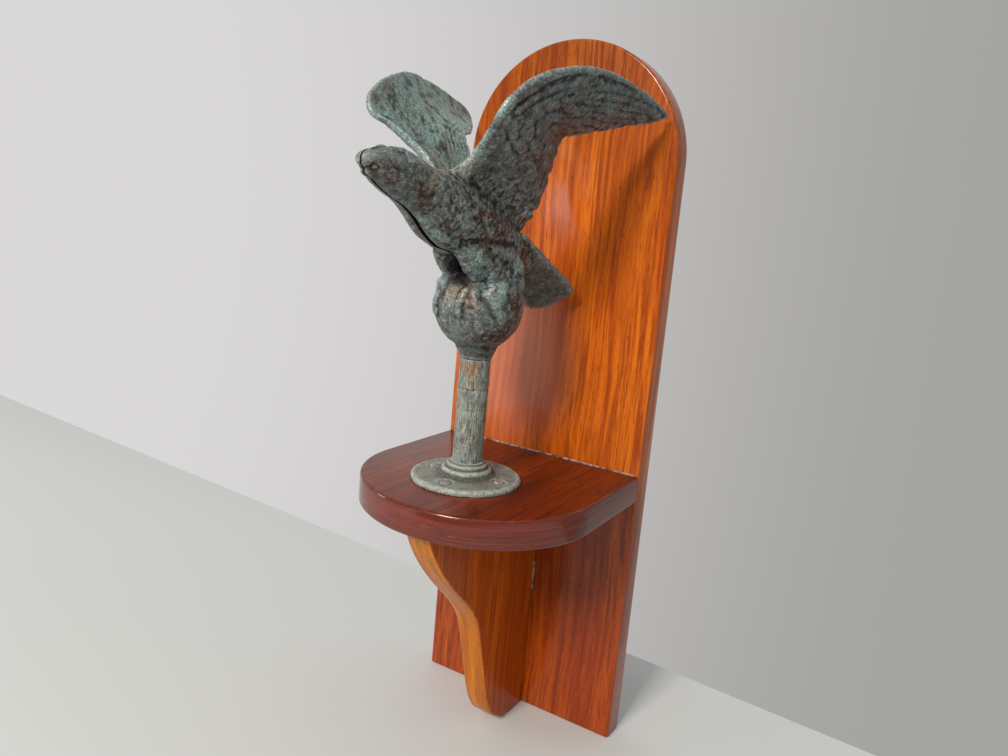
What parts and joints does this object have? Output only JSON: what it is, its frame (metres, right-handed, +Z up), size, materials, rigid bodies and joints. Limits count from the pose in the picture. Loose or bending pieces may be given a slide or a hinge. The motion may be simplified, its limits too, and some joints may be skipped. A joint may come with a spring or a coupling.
{
  "type": "eagle finial on wall bracket",
  "caption": "Cast copper-alloy eagle with raised wings, perched on a ball and post, on a varnished wooden wall bracket with arched backboard, round shelf and ogee corbel.",
  "frame": {"origin": "on the flat back of the backboard, on its centre line, at half its height", "axes": "+Y into the wall, -Y out towards the room, +X across the board, +Z up"},
  "size_m": [0.2045, 0.29, 0.626],
  "materials": {
    "board_wood": "satin varnish",
    "shelf_wood": "satin varnish",
    "corbel_wood": "satin varnish",
    "post_bronze": "weathered grey-green patina",
    "eagle_bronze": "aged blue-green and brown patina",
    "screw_metal": "tarnished"
  },
  "bodies": {
    "root": {"backboard": "board_wood", "shelf": "shelf_wood", "corbel": "corbel_wood", "floor_flange": "post_bronze", "post": "post_bronze", "flange_screw_1": "screw_metal", "flange_screw_2": "screw_metal", "flange_screw_3": "screw_metal", "flange_screw_4": "screw_metal", "eagle_right_half": "eagle_bronze", "eagle_left_half": "eagle_bronze"}
  },
  "joints": []
}
